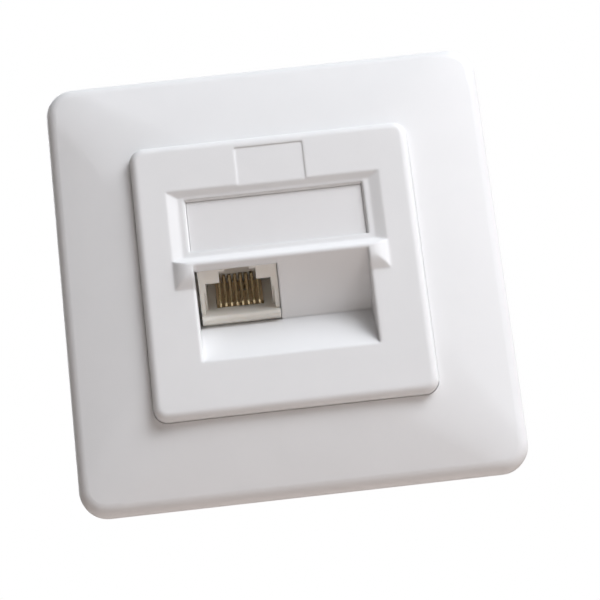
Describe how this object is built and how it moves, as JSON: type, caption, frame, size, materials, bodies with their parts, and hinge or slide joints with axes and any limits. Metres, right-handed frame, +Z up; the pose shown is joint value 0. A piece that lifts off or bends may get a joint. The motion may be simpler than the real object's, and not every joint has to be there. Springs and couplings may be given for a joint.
{
  "type": "ethernet wall socket",
  "caption": "Square flush wall socket with a domed cover frame, a centre plate with a blank label pocket and a hooded slanted recess that holds a network jack.",
  "frame": {"origin": "centre of the two wall-box screw slots, on the wall plane", "axes": "+X to the right as seen from the room, +Y into the wall, +Z up"},
  "size_m": [0.08, 0.0315, 0.08],
  "materials": {
    "frame_white": "smooth satin moulding",
    "plate_white": "smooth satin moulding",
    "label_white": "smooth satin moulding",
    "screw_steel": "bright zinc plate",
    "zinc_steel": "zinc plated sheet",
    "carrier_grey": "plain moulding",
    "jack_ivory": "fine satin moulding",
    "insert_ivory": "plain moulding",
    "board_green": "solder-masked laminate",
    "terminal_white": "plain moulding",
    "contact_gold": "gold plated wire",
    "fork_tin": "tinned sheet"
  },
  "bodies": {
    "socket": {"cover_frame": "frame_white", "centre_plate": "plate_white", "plate_screw": "screw_steel", "support_plate": "zinc_steel", "module_carrier": "carrier_grey", "carrier_screws": "screw_steel", "jack_housing": "jack_ivory", "contact_insert": "insert_ivory", "circuit_board": "board_green", "board_screws": "screw_steel", "terminal_block_left": "terminal_white", "terminal_block_right": "terminal_white", "contact_wire_1": "contact_gold", "contact_wire_2": "contact_gold", "contact_wire_3": "contact_gold", "contact_wire_4": "contact_gold", "contact_wire_5": "contact_gold", "contact_wire_6": "contact_gold", "contact_wire_7": "contact_gold", "contact_wire_8": "contact_gold", "terminal_fork_1": "fork_tin", "terminal_fork_2": "fork_tin", "terminal_fork_3": "fork_tin", "terminal_fork_4": "fork_tin", "terminal_fork_5": "fork_tin", "terminal_fork_6": "fork_tin", "terminal_fork_7": "fork_tin", "terminal_fork_8": "fork_tin"},
    "label": {"label_cover": "label_white"}
  },
  "joints": [
    {"name": "label_lift", "type": "slide", "parent": "socket", "child": "label", "axis": [0, -1, 0], "range_m": [0, 0.008]}
  ]
}
